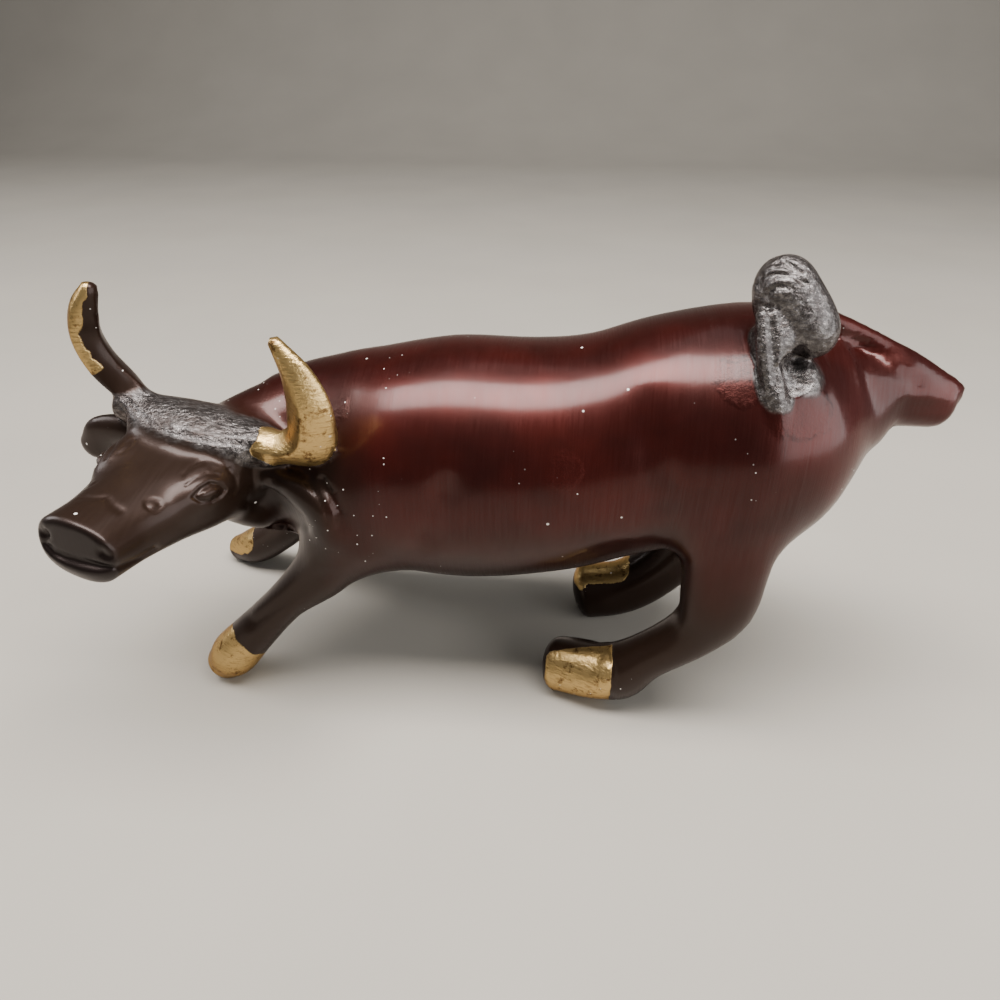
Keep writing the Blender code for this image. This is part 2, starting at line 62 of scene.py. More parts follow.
# Frame while the figure is formed: millimetres, x from the head towards the rump,
# y from the bull's left flank to its right flank, z up from the ground.
# The distance given to a point that is near no form
OUTSIDE = 60.0
# How a form is built: curve points to a row, its least half size, how far a dome bulges for its
# size, and how far around a form its distance is worked out
ROW_STEPS = 16
THINNEST = 0.4
DOME_SHARE = 0.8
LEAST_REACH = 6.0
BLEND_MARGIN = 3
POINTS_AT_ONCE = 60000
SMALLEST_RATIO = 1e-5

# Head: a frame of its own, turned to the bull's left
HEAD_YAW = math.radians(78.0)
HEAD_PITCH = math.radians(2.5)
HEAD_ROLL = math.radians(-8.4)
POLL = np.array([-53.8, -16.0, 61.1])
LEVEL_SIDE = np.array([math.sin(HEAD_YAW), -math.cos(HEAD_YAW), 0.0])
HEAD_FORE = np.array([
    -math.cos(HEAD_YAW) * math.cos(HEAD_PITCH),
    -math.sin(HEAD_YAW) * math.cos(HEAD_PITCH),
    -math.sin(HEAD_PITCH),
])
LEVEL_UP = np.cross(HEAD_FORE, LEVEL_SIDE)
HEAD_SIDE = LEVEL_SIDE * math.cos(HEAD_ROLL) + LEVEL_UP * math.sin(HEAD_ROLL)
HEAD_UP = np.cross(HEAD_FORE, HEAD_SIDE)

# Forms carried along a path.  Each row is a point of the path, then the half width,
# the half height above and the half height below.
TRUNK = [
    (-44, -1, 48, 11, 14, 16), (-37, 0, 48, 15.5, 18, 19.5), (-26, 0, 47.5, 21, 21.7, 22.5),
    (-8, 0, 47.8, 23.5, 24.6, 24.8), (10, 0, 50, 23, 22.8, 24.2), (22, 0, 52.5, 22, 22, 22.3),
    (34, 0, 56, 22, 22.5, 21), (46, 0, 59, 21, 22, 20), (55, 0, 60.5, 16.5, 20, 16.5),
    (60, 0, 62, 13, 17, 13), (65, 0, 64, 9.8, 13.2, 9.7), (71, 0, 66, 6.2, 8.2, 6.7),
    (79, 0, 64.5, 4.3, 5, 4.5),
]
NECK = [
    (-30, 0, 49, 15, 17, 18), (-40, -3, 49.5, 13.5, 15.5, 18), (-48, -9, 50.5, 11.5, 13, 15.8),
    (-54, -15, 52, 11, 9, 10.8),
]
SKULL = [
    (0, -4, -7.5, 11, 8, 8), (0, 1, -8, 13, 9, 9.2), (0, 8, -8.5, 12, 7.6, 8),
    (0, 16, -8, 9.6, 6.6, 6.6), (0, 24, -7.4, 7.8, 5.8, 5.8), (-0.2, 30.2, -6.8, 7.5, 5.4, 5.6),
]
CREST = [
    (-15, 0, -0.9, 3.4, 2.8, 3), (-7, 0.6, -0.6, 5, 2.7, 3), (0, 0.8, -0.4, 5.6, 2.7, 3),
    (7, 0.6, -0.6, 5, 2.7, 3), (15, 0, -0.9, 3.4, 2.8, 3),
]
LEFT_HORN = [
    (12, -0.3, -0.8, 3.4, 3, 3), (18, -0.4, 0.2, 3.8, 3.2, 3.4), (22.4, -0.4, 3.4, 4.2, 4.4, 5.2),
    (23.7, 0.2, 9.5, 3.7, 4.9, 4.4), (21.8, 0.4, 15.5, 2.8, 3.8, 3.2), (17.8, 0.6, 20.8, 1.4, 1.6, 1.4),
]
RIGHT_HORN = [
    (-12, -0.3, -0.8, 3.6, 3.2, 3.2), (-15.6, -0.8, 2.4, 3.4, 3, 3.2), (-19.6, -0.4, 6.5, 3.4, 3.2, 3.4),
    (-21.6, -0.2, 11.3, 3.2, 3.2, 3.4), (-21.1, -0.4, 16, 2.7, 2.9, 3), (-19.4, -1, 20.2, 1.6, 1.8, 1.8),
]
LEFT_EAR = [
    (11.5, -0.6, -7.6, 2.6, 2.6, 2.6), (17.3, 0.2, -8.3, 2.9, 2.4, 2.2), (22.1, 0.8, -9.9, 3.1, 2, 2),
    (25.6, 1, -12, 3.3, 1.8, 1.8), (28.4, 0.8, -15, 1.4, 1, 1),
]
RIGHT_EAR = [
    (-12, -0.2, -6.2, 2.6, 2.6, 2.6), (-17.8, 0.4, -7, 3, 2.4, 2.2), (-22, 0.9, -9.2, 3.5, 2, 2),
    (-24.4, 1.2, -12.4, 3, 1.8, 1.8),
]
LEFT_FORELEG = [
    (-29, -14, 38, 8, 6.5, 9), (-34.6, -16, 28.8, 6, 6, 6), (-42.4, -18, 21.2, 4.4, 4.5, 3.8),
    (-50.4, -19, 12.6, 4.6, 4.9, 4.2), (-55.6, -19.5, 6.8, 5, 5.4, 4.8), (-59, -19, 3.4, 4, 4.2, 4.4),
]
RIGHT_FORELEG = [
    (-33, 13, 38, 8, 9, 9), (-40, 15, 29, 6.5, 7.5, 6.5), (-49, 17, 21, 4.6, 5, 4.6),
    (-59, 19, 11.8, 4.5, 4.6, 4.5), (-67.5, 21, 5.6, 4.8, 4.8, 4.8), (-73, 22.5, 3, 3.6, 3.8, 3.6),
]
LEFT_HIND_LEG = [
    (45, -11, 56, 9, 12, 11), (44.5, -13.5, 47, 9, 11.5, 10), (45, -16, 38, 7.4, 8.8, 7.4),
    (44, -18, 29, 6.2, 7.5, 6.6), (40.4, -18.4, 21.8, 5.2, 5.2, 4.6), (32.5, -18.2, 14.2, 4.8, 4.6, 4),
    (25, -17, 7.8, 5.8, 5.6, 7), (14.6, -13.4, 5.2, 5.8, 5.6, 6.6),
]
RIGHT_HIND_LEG = [
    (45, 9, 56, 9, 12, 11), (45, 11, 47, 9, 11.5, 10), (46, 13, 38, 7.4, 8.8, 7.4),
    (46.5, 14, 29, 6.6, 8, 6.4), (42.5, 13.6, 20.4, 6, 7.4, 6), (36.4, 13, 12.8, 5.4, 6.6, 6.4),
    (29, 12.5, 7.6, 5.2, 6.2, 7), (20, 12, 5.6, 5.4, 6.4, 7),
]
# The tail's curled end: the place and the radius of each ball in a close row
TAIL = [
    (45.6, -10.8, 84.6, 3.8), (45.5, -10.4, 86.6, 4.1), (45.8, -10.3, 88, 4.3), (46.5, -10.5, 87.6, 4.4),
    (47.2, -10.9, 86.5, 4.4), (47.9, -11.1, 85.6, 4.4), (48.6, -11.4, 84.7, 4.4), (49.3, -11.7, 83.8, 4.4),
    (50, -12.1, 82.8, 4.4), (50.7, -12.4, 81.7, 4.3), (51.1, -12.6, 81, 4),
]
# Balls that fill the hollows around the curled end, each one a centre and its half sizes
TAIL_FILLERS = [
    ((47.4, -10.6, 80.4), (4.6, 4.4, 6.4)), ((46, -13.6, 79), (3, 3.6, 5.4)),
    ((49.6, -13, 72), (4.4, 4.2, 5)),
]
TAIL_ROOT = [
    (47.6, -19, 66, 2, 1.8, 1.8), (46.4, -18.2, 71.5, 2.2, 2, 2), (44.4, -16.6, 78, 2, 1.9, 1.9),
    (43.4, -14.4, 84, 1.9, 1.8, 1.8),
]
RUMP_CORD = [
    (55, 0, 80.3, 1.8, 1.6, 3.6), (66.8, 0, 75.4, 1.6, 1.5, 2.4), (74.7, 0, 71.4, 1.4, 1.4, 1.4),
    (82, 0, 66.8, 1.6, 1.8, 1.8),
]

# Carved lines.  Each one is a path, the depth and the width; a minus depth is raised.
# Lines of the head that both sides have, in the head frame
EYE_RIM = [
    (9.6, 15, -3.6), (10, 13.3, -2.9), (10.5, 11.4, -2.9), (11.3, 10.1, -3.9), (11.7, 9.7, -4.9),
    (11.8, 11.4, -5.2), (11.4, 13, -5.1), (10.5, 14.6, -4.4), (9.6, 15, -3.6),
]
HEAD_PAIRS = [
    (EYE_RIM, 0.5, 0.36),
    ([(10.9, 13.2, -4), (11.3, 11.4, -4.2)], -0.4, 0.8),
    ([(7.4, 14.1, -1.8), (7.3, 12.2, -1.4), (7.6, 10.2, -1.3), (8.8, 8.4, -1.6), (10.3, 7.3, -2.4),
      (11.1, 6.4, -3.8)], -0.1, 0.6),
    ([(8, 14.4, -2.1), (8.4, 12.2, -1.9), (9.1, 10.5, -1.9), (10.2, 9, -2.7)], 0.16, 0.33),
    ([(6.6, 13, -1.2), (6.5, 11, -0.9), (7.2, 8.8, -0.9)], 0.1, 0.33),
    ([(10.7, 6.6, -3), (11.4, 6.1, -4.6), (12, 6.9, -6.3), (12.2, 8.4, -6.6)], 0.25, 0.5),
    ([(12.7, 3.1, -0.5), (12.2, 2, -4.9), (12.6, 3.1, -7.9), (11.8, 4.3, -10.9)], 0.8, 1.3),
    ([(0.6, 23.4, -1.8), (1.8, 24, -2), (3.4, 24.2, -2.3)], 0.18, 0.6),
    ([(5.3, 30.9, -4.9), (6, 30.8, -5.4)], 0.5, 0.7),
]
CHEEK_RING = (6, 20.2, -2.9)
# Lines of the head that cross it or are on one side only
HEAD_LINES = [
    ([(-8.2, 24, -8.6), (-7.9, 27, -8.3), (-6.4, 30.4, -8), (-3.8, 31.9, -7.9), (-1.1, 32.2, -7.8),
      (2, 31.9, -7.7), (5, 31.4, -7.7), (6.8, 30.2, -7.8), (7.8, 27, -8.3), (8.2, 24, -8.6)], 0.45, 0.55),
    ([(-13.6, 2.2, 2.2), (-7.6, 4.5, 0.4), (-1.9, 5.2, 0.1), (4.2, 5.1, 0.4), (9.6, 4, 0.7),
      (14.2, 2.9, 1.1)], 0.35, 0.5),
    ([(13.3, 1.6, -12.9), (14.7, -0.2, -15.9), (15.6, -1.8, -19)], 2, 3),
    ([(24.9, -0.6, -4.8), (27.8, 0.4, -7), (29.5, 1, -9.7), (29.4, 2, -12)], 0.5, 0.6),
    ([(22.6, 0.4, -5.9), (25.4, 1.6, -7.3), (27.3, 2.4, -9.5), (27.8, 2.8, -11.1)], 0.35, 0.45),
    ([(15.5, 1.6, -7.6), (17.8, 2.2, -8.8), (22, 3.2, -10.9), (24.2, 3.3, -13.5)], 0.5, 0.9),
]
# Grooves of the rump: under its cord and round its end
RUMP_LINES = [
    ([(60, -5, 77), (67, -4.4, 73), (75, -3.6, 69)], 0.7, 1.1),
    ([(70, -6, 66.6), (76, -5, 65.6), (81, -4, 65)], 0.5, 1.2),
]
# Creases that both flanks have
FLANK_PAIRS = [
    ([(-5.9, -21.5, 58.1), (-6.9, -22.6, 54.8), (-8, -23.3, 51.4), (-9.6, -23.4, 46.7),
      (-11.9, -22.4, 41.4), (-15.7, -19.5, 34.9)], 1.1, 2.6),
    ([(26.5, -14, 72), (27.5, -19.1, 65.7), (28.4, -21.3, 60.4), (29.3, -22, 55), (31, -21.1, 48.3),
      (33, -19.5, 41)], 1.1, 3.4),
    ([(14, -17, 34.5), (16.9, -18.7, 37.5), (20.8, -19.3, 40.5), (24.7, -19.1, 41.8), (28.2, -17.1, 40.2)],
     0.25, 2),
]
# Lines of the legs on the left side
LEG_LINES = [
    ([(-30.6, -22, 33.6), (-37.7, -21.6, 27.1), (-44.9, -21.8, 21.1), (-50.5, -21.8, 16.7)], 0.4, 0.8),
    ([(-32.7, -21.8, 35.7), (-37.6, -20.5, 30.5), (-43.9, -20.3, 24.4), (-50.4, -20.2, 18.2)], -0.3, 0.8),
    ([(20.7, -15.8, 13.4), (24, -18.7, 13.9), (25.5, -21.4, 13), (25.6, -22.8, 8.2), (25.6, -22, 3)],
     0.35, 0.6),
]
# Grooves of the tail: one beside its root, a hollow under its curled end, and rings on the curl
TAIL_LINES = [
    ([(46, -19.5, 73.7), (44.8, -18.5, 77.6), (43.9, -17.5, 82), (43.2, -16.5, 86)], 0.8, 0.75),
    ([(47, -17, 79), (48.9, -17, 76.6), (50.1, -17.6, 72.6)], 1.2, 1.9),
    ([(41.1, -14, 88.5), (41.5, -14, 90.2), (42.9, -14, 91.3), (45, -14, 91.5), (48, -14, 90.1)],
     0.6, 0.5),
    ([(41.6, -14, 87.1), (42.2, -14, 89), (43.7, -14, 90.1), (46, -14, 90.2), (48.9, -14, 88.6)],
     0.5, 0.45),
    ([(42.3, -14, 85.9), (43, -14, 87.6), (44.6, -14, 88.8), (46.8, -14, 88.5)], 0.3, 0.45),
]
# Carved lines hold their place in the picture's line of sight: along it a distance counts less
HEAD_SIGHT = (-58.7, 102.0, -65.0)
FLANK_SIGHT = (0.0, 1.0, 0.0)
SIGHT_SHARE = 0.1
# The nose is cut flat across the muzzle, and the lip below it stands forward
NOSE_PLANE = 31.6
NOSE_MIDDLE = -7.4
NOSE_LEAN = (0.985, 0.12)
NOSE_EDGE = 0.5
MUZZLE_START = 27
MUZZLE_INSIDE = -9
LIP_REACH = 1.3
LIP_TOP = -7.3
LIP_RISE = 2.2
# A low ring on each cheek: its height, radius and width
CHEEK_RING_HEIGHT = 0.14
CHEEK_RING_RADIUS = 1.05
CHEEK_RING_WIDTH = 0.33
# The box of the head frame in which the head's lines are carved
HEAD_LOW = (-33, -6, -25)
HEAD_HIGH = (33, 42, 15)
# The share of a line's length over which it fades at each end
LINE_FADE = 0.1
FLANK_FADE = 0.3


def unit(vector):
    vector = np.asarray(vector, float)
    return vector / np.linalg.norm(vector)


def from_head(rows):
    """Rows of the head frame, moved to the figure's frame."""
    moved = []
    for row in rows:
        point = POLL + HEAD_SIDE * row[0] + HEAD_FORE * row[1] + HEAD_UP * row[2]
        moved.append((*point, *row[3:]))
    return moved


def to_head(points):
    offset = np.asarray(points, float) - POLL
    return np.stack([offset @ HEAD_SIDE, offset @ HEAD_FORE, offset @ HEAD_UP], axis=-1)


def smooth_rows(rows, steps):
    """Catmull-Rom curve through the rows."""
    rows = np.asarray(rows, float)
    ends = np.vstack([2 * rows[0] - rows[1], rows, 2 * rows[-1] - rows[-2]])
    share = np.linspace(0, 1, steps, endpoint=False)[:, None]
    pieces = []
    for first in range(1, len(ends) - 2):
        before, start, stop, after = ends[first - 1:first + 3]
        linear = (stop - before) * share
        square = (2 * before - 5 * start + 4 * stop - after) * share ** 2
        cube = (3 * start - before - 3 * stop + after) * share ** 3
        pieces.append(0.5 * (2 * start + linear + square + cube))
    pieces.append(rows[-1:])
    return np.vstack(pieces)


class Loft:
    """A rounded form whose section changes along a path."""

    def __init__(self, rows, lean=(0, 0, 1), cap=None, blend=4.0, power=2.0):
        rows = smooth_rows(rows, ROW_STEPS)
        rows[:, 3:] = np.maximum(rows[:, 3:], THINNEST)
        self.centre = rows[:, :3]
        self.wide = rows[:, 3]
        self.high = rows[:, 4]
        self.deep = rows[:, 5]
        run = np.gradient(self.centre, axis=0)
        self.step = np.linalg.norm(run, axis=1)
        self.along = run / self.step[:, None]
        across = np.cross(self.along, np.asarray(lean, float))
        self.across = across / np.linalg.norm(across, axis=1)[:, None]
        self.up = np.cross(self.across, self.along)
        self.cap = cap
        self.blend = blend
        self.power = power
        reach = rows[:, 3:].max(axis=1)[:, None] + max(LEAST_REACH, blend + BLEND_MARGIN)
        self.box_low = (self.centre - reach).min(axis=0)
        self.box_high = (self.centre + reach).max(axis=0)

    def distance(self, points):
        result = np.empty(len(points))
        for start in range(0, len(points), POINTS_AT_ONCE):
            stop = start + POINTS_AT_ONCE
            result[start:stop] = self.part_distance(points[start:stop])
        return result

    def part_distance(self, points):
        gap = (self.centre ** 2).sum(axis=1)[None, :] - 2 * points @ self.centre.T
        near = gap.argmin(axis=1)
        offset = ((points - self.centre[near]) * self.along[near]).sum(axis=1) / self.step[near]
        last = len(self.centre) - 1
        place = np.clip(near + np.clip(offset, -1, 1), 0, last)
        row = np.minimum(place.astype(int), last - 1)
        share = place - row

        def between(values):
            weight = share if values.ndim == 1 else share[:, None]
            return values[row] * (1 - weight) + values[row + 1] * weight

        arm = points - between(self.centre)
        side = (arm * between(self.across)).sum(axis=1)
        rise = (arm * between(self.up)).sum(axis=1)
        beyond = (arm * between(self.along)).sum(axis=1)
        wide = between(self.wide)
        tall = np.where(rise > 0, between(self.high), between(self.deep))
        cap = DOME_SHARE * np.minimum(wide, tall) if self.cap is None else self.cap
        section = np.abs(side / wide) ** self.power + np.abs(rise / tall) ** self.power
        ratio = np.sqrt(section ** (2 / self.power) + (beyond / cap) ** 2)
        ratio = np.maximum(ratio, SMALLEST_RATIO)
        return np.sqrt(side * side + rise * rise + beyond * beyond) * (1 - 1 / ratio)

    def skin(self, around=28, dome=5):
        """Closed skin of the form: a ring of points to each row and a dome on each end.

        A point is centre + across * wide * c + up * tall * s, where c and s are the cosine and
        the sine of its angle raised to 2 / power.  The rings of a dome shrink as a quarter circle.
        """
        angle = np.linspace(0, 2 * math.pi, around, endpoint=False)
        out = np.sign(np.cos(angle)) * np.abs(np.cos(angle)) ** (2 / self.power)
        rise = np.sign(np.sin(angle)) * np.abs(np.sin(angle)) ** (2 / self.power)
        bend = np.linspace(0, math.pi / 2, dome, endpoint=False)[1:]
        last = len(self.centre) - 1
        rows = np.concatenate([np.zeros(dome - 1, int), np.arange(last + 1), np.full(dome - 1, last)])
        ends = [
            min(self.wide[row], self.high[row], self.deep[row]) * DOME_SHARE for row in (0, last)]
        caps = ends if self.cap is None else [self.cap, self.cap]
        level = np.zeros(last + 1)
        swell = np.concatenate([np.cos(bend)[::-1], level + 1, np.cos(bend)])
        reach = np.concatenate([-np.sin(bend)[::-1] * caps[0], level, np.sin(bend) * caps[1]])
        tall = np.where(rise[None, :] > 0, self.high[rows][:, None], self.deep[rows][:, None])
        side = (self.wide[rows] * swell)[:, None] * out[None, :]
        lift = tall * swell[:, None] * rise[None, :]
        rings = (
            self.centre[rows][:, None] + self.across[rows][:, None] * side[:, :, None]
            + self.up[rows][:, None] * lift[:, :, None]
            + (self.along[rows] * reach[:, None])[:, None])
        poles = [self.centre[0] - self.along[0] * caps[0], self.centre[-1] + self.along[-1] * caps[1]]
        points = np.vstack([rings.reshape(-1, 3), poles])
        number = np.arange(len(rows) * around).reshape(len(rows), around)
        turned = np.roll(number, -1, axis=1)
        quads = np.stack([number[:-1], turned[:-1], turned[1:], number[1:]], axis=-1).reshape(-1, 4)
        fans = []
        for ring, pole, order in ((0, 0, (1, 0, 2)), (-1, 1, (0, 1, 2))):
            fan = [number[ring], turned[ring], np.full(around, number.size + pole)]
            fans += np.stack([fan[place] for place in order], axis=-1).tolist()
        return points, quads.tolist() + fans


class Ball:
    """An ellipsoid, turned about y and then about z."""

    def __init__(self, centre, half, tilt=0.0, turn=0.0, blend=4.0):
        self.centre = np.asarray(centre, float)
        self.half = np.asarray(half, float)
        tilt = math.radians(tilt)
        turn = math.radians(turn)
        about_y = np.array([
            [math.cos(tilt), 0, math.sin(tilt)], [0, 1, 0], [-math.sin(tilt), 0, math.cos(tilt)]])
        about_z = np.array([
            [math.cos(turn), -math.sin(turn), 0], [math.sin(turn), math.cos(turn), 0], [0, 0, 1]])
        self.axes = about_z @ about_y
        self.blend = blend
        reach = self.half.max() + max(LEAST_REACH, blend + BLEND_MARGIN)
        self.box_low = self.centre - reach
        self.box_high = self.centre + reach

    def distance(self, points):
        arm = (points - self.centre) @ self.axes
        ratio = np.maximum(np.sqrt(((arm / self.half) ** 2).sum(axis=1)), SMALLEST_RATIO)
        return np.sqrt((arm * arm).sum(axis=1)) * (1 - 1 / ratio)


def figure_forms():
    """Every form of the figure, in the order in which they are joined."""
    head_up = tuple(HEAD_UP)
    head_fore = tuple(HEAD_FORE)
    forward = (-1, 0, 0)
    forms = [
        Loft(TRUNK, blend=5, cap=3.5),
        Loft(NECK, blend=6),
        Loft(from_head(SKULL), head_up, blend=3, cap=2.6, power=2.4),
        Ball(from_head([(8, 10.5, -5)])[0], (2.9, 5.2, 3), turn=-12, blend=4),
        Ball(from_head([(-8, 10.5, -5)])[0], (2.9, 5.2, 3), turn=-12, blend=4),
        Loft(from_head(CREST), head_up, blend=4, power=2.3),
        Loft(from_head(LEFT_HORN), tuple(-HEAD_SIDE), blend=1.6, cap=1.2, power=1.25),
        Loft(from_head(RIGHT_HORN), tuple(HEAD_SIDE), blend=1.2, cap=1.2, power=1.25),
        Loft(from_head(LEFT_EAR), head_fore, blend=1, cap=1),
        Loft(from_head(RIGHT_EAR), head_fore, blend=1, cap=2.6),
        Ball((-28.4, -11, 42), (11.4, 10, 15), tilt=-15, blend=6),
        Loft(LEFT_FORELEG, forward, blend=4),
        Ball((-31, 11, 42), (12, 10, 15), tilt=-15, blend=6),
        Loft(RIGHT_FORELEG, forward, blend=4),
        Ball((46.8, -10, 56.4), (16.2, 12.5, 19), tilt=14, blend=7),
        Ball((46.8, 10, 56.4), (16.2, 12.5, 19), tilt=14, blend=7),
        Loft(LEFT_HIND_LEG, forward, blend=4, cap=3.2, power=2.3),
        Loft(RIGHT_HIND_LEG, forward, blend=4, cap=3.2, power=2.3),
        *[Ball(centre, half, blend=2) for centre, half in TAIL_FILLERS],
        Loft(TAIL_ROOT, (1, 0, 0), blend=1),
        Loft(RUMP_CORD, blend=1.6),
    ]
    forms += [Ball(row[:3], (row[3],) * 3, blend=0.9) for row in TAIL]
    return forms


def soft_min(first, second, blend):
    overlap = np.maximum(blend - np.abs(first - second), 0) / blend
    return np.minimum(first, second) - overlap * overlap * blend / 4


def path_distance(points, path, sight):
    """Distance to a path and the place on it, with less weight along the line of sight."""
    squeeze = np.eye(3) - (1 - SIGHT_SHARE) * np.outer(sight, sight)
    points = points @ squeeze
    path = np.asarray(path, float) @ squeeze
    best = np.full(len(points), 1e9)
    place = np.zeros(len(points))
    legs = len(path) - 1
    for index in range(legs):
        start = path[index]
        run = path[index + 1] - start
        share = np.clip((points - start) @ run / (run @ run), 0, 1)
        gap = np.linalg.norm(points - start - share[:, None] * run, axis=1)
        closer = gap < best
        best = np.where(closer, gap, best)
        place = np.where(closer, (index + share) / legs, place)
    return best, place


def carve(values, points, line, sight, fade=0.0):
    """Add one carved line to the distances."""
    path, depth, width = line
    corners = np.asarray(path, float)
    reach = 3 * width + 4
    near = np.all((points > corners.min(axis=0) - reach) & (points < corners.max(axis=0) + reach), axis=1)
    if not near.any():
        return
    gap, place = path_distance(points[near], path, sight)
    cut = depth * np.exp(-(gap / width) ** 2)
    if fade:
        cut *= np.clip(np.minimum(place, 1 - place) / fade, 0, 1)
    values[near] += cut


def figure_distance(points, forms):
    """Signed distance to the figure's surface, inside below zero."""
    values = np.full(len(points), OUTSIDE)
    for form in forms:
        near = np.all((points > form.box_low) & (points < form.box_high), axis=1)
        if near.any():
            values[near] = soft_min(values[near], form.distance(points[near]), form.blend)
    local = to_head(points)
    near = np.all((local > np.array(HEAD_LOW)) & (local < np.array(HEAD_HIGH)), axis=1)
    if near.any():
        local = local[near]
        part = values[near]
        lip = np.clip((LIP_TOP - local[:, 2]) / LIP_RISE, 0, 1)
        ahead = (local[:, 1] - NOSE_PLANE) * NOSE_LEAN[0] + (local[:, 2] - NOSE_MIDDLE) * NOSE_LEAN[1]
        plane = np.where(local[:, 1] > MUZZLE_START, ahead - LIP_REACH * lip, MUZZLE_INSIDE)
        part = -soft_min(-part, -plane, NOSE_EDGE)
        sight = unit(to_head(POLL + np.array(HEAD_SIGHT)))
        for line in HEAD_LINES:
            carve(part, local, line, sight)
        folded = local.copy()
        folded[:, 0] = np.abs(folded[:, 0])
        for line in HEAD_PAIRS:
            carve(part, folded, line, sight)
        ring = np.linalg.norm(folded - np.array(CHEEK_RING), axis=1)
        part += CHEEK_RING_HEIGHT * np.exp(-((ring - CHEEK_RING_RADIUS) / CHEEK_RING_WIDTH) ** 2)
        values[near] = part
    for line in LEG_LINES + TAIL_LINES + RUMP_LINES:
        carve(values, points, line, unit(FLANK_SIGHT), LINE_FADE)
    folded = points.copy()
    folded[:, 1] = -np.abs(folded[:, 1])
    for line in FLANK_PAIRS:
        carve(values, folded, line, unit(FLANK_SIGHT), FLANK_FADE)
    return values


def add_skin(solid, form):
    """Add the closed skin of one form to the mesh that is being built."""
    if isinstance(form, Ball):
        place = np.eye(4)
        place[:3, :3] = form.axes * form.half * MM
        place[:3, 3] = form.centre * MM
        bmesh.ops.create_uvsphere(
            solid, u_segments=40, v_segments=24, radius=1, matrix=mathutils.Matrix(place.tolist()))
        return
    points, faces = form.skin()
    mesh = bpy.data.meshes.new("skin")
    mesh.from_pydata((points * MM).tolist(), [], faces)
    solid.from_mesh(mesh)
    bpy.data.meshes.remove(mesh)


def applied(figure, name, kind, **settings):
    """The figure's mesh with one modifier applied."""
    modifier = figure.modifiers.new(name, kind)
    for key, value in settings.items():
        setattr(modifier, key, value)
    view = bpy.context.evaluated_depsgraph_get()
    mesh = bpy.data.meshes.new_from_object(figure.evaluated_get(view))
    figure.modifiers.clear()
    return mesh


def settle(mesh, forms, rounds):
    """Move the points along their normals until they lie on the blended, carved surface."""
    count = len(mesh.vertices) * 3
    points = np.empty(count)
    mesh.vertices.foreach_get("co", points)
    points = points.reshape(-1, 3) / MM
    for _ in range(rounds):
        normals = np.empty(count, np.float32)
        mesh.vertex_normals.foreach_get("vector", normals)
        gap = np.clip(figure_distance(points, forms), -LONGEST_MOVE, LONGEST_MOVE)
        points = points - normals.reshape(-1, 3) * gap[:, None]
        mesh.vertices.foreach_set("co", (points * MM).ravel())
        mesh.update()
    return points


# Where the casting's skin is made finer: a place and a reach in millimetres.  The wide zones are
# halved first and then the close ones; a zone whose reach lies between the limits is in both.
# The first list is in the head frame, the second in the figure's.
WIDE_FROM = 10.5
CLOSE_TO = 11
FINE_HEAD = [((0, 14, -5), 30), ((10.5, 12, -4), 7), ((-10.5, 12, -4), 7), ((0, 30, -7), 11)]
FINE_FIGURE = [
    ((48, -13, 80), 16), ((47, -13, 84), 9), ((-57, -19, 6), 12), ((-71, 21, 6), 11),
    ((18, -16, 8), 15), ((24, 11, 8), 14),
]

# Bare brass: a zone is a centre and three half sizes; what is inside it shows the metal.
# The horns are bare too, the right one only on the face that is turned forward.
BRASS_EDGE = 2.4
BRASS_ZONES = [
    ((-58.2, -21, 6.2), (9.8, 8, 9.2)),
    ((-72, 20.6, 8.2), (8.4, 5.6, 4.6)),
]
# The left hind hoof is bare in a block, the right hind hoof only on top in its block
LEFT_HIND_BARE = ((11, -30, -2), (25.2, -15.4, 14.6))
RIGHT_HIND_BARE = ((8, 2, 3), (29.5, 22, 20))
# The hollow below the left ear, darkened as painted shade
EAR_HOLLOW_SHADE = ((-38, -20, 45), (7, 9, 6))
# What stays dark on a bare hoof
TOE_SHADE = ((9.4, -12.5, 4.8), (3.8, 6.5, 6.5))
# Where the bare metal of the left horn starts, in the head frame
HORN_FOOT = 13
# How far off a form's surface its finish still reaches
HORN_MARGIN = 0.8
CREST_MARGIN = 0.8
TAIL_MARGIN = 0.7
# The right horn's bare face, the upper side of the right hind hoof, and how far each one turns
FORWARD_FACE = (-0.93, -0.3, 0.15)
FORWARD_FROM = -0.15
UPPER_FACE = (-0.45, -0.1, 0.85)
UPPER_FROM = 0.62
FACE_EDGE = 0.35
# The lacquer is darkest on the head, within a width and ahead of a line; below a height the body and legs
# get painted shade, darker towards the bottom
DARK_HEAD_WIDTH = 30
DARK_HEAD_BACK = -7
LOW_SHADE_HEIGHT = 38
# The nose plane is nearly black
NOSE_FRONT = 30.4
NOSE_WIDTH = 9
# The tail's rough skin ends at this height
TAIL_FOOT = 70.5
# Worn, wrinkled lacquer around the tail and on the flank
WRINKLED_ZONES = [
    ((41.2, -17.5, 74), (4.5, 7, 3.4)), ((38, -11, 83), (4.5, 5, 3)), ((50, -18, 70), (6, 5, 5)),
    ((13.6, -22, 58), (3, 6, 3)), ((-28, -16, 66), (3, 5, 4)),
]


def zone_depth(points, centre, half):
    """How deep a point lies in an ellipsoid zone, in millimetres, minus outside."""
    ratio = np.sqrt((((points - np.array(centre)) / np.array(half)) ** 2).sum(axis=1))
    return (1 - ratio) * min(half)


def block_depth(points, low, high):
    """How deep a point lies in a block, in millimetres, minus outside."""
    return np.minimum(points - np.array(low), np.array(high) - points).min(axis=1)


def soft_zone(depth, edge):
    """1 inside and 0 outside, with a straight ramp of the edge's width between."""
    return np.clip(0.5 + depth / edge, 0, 1)


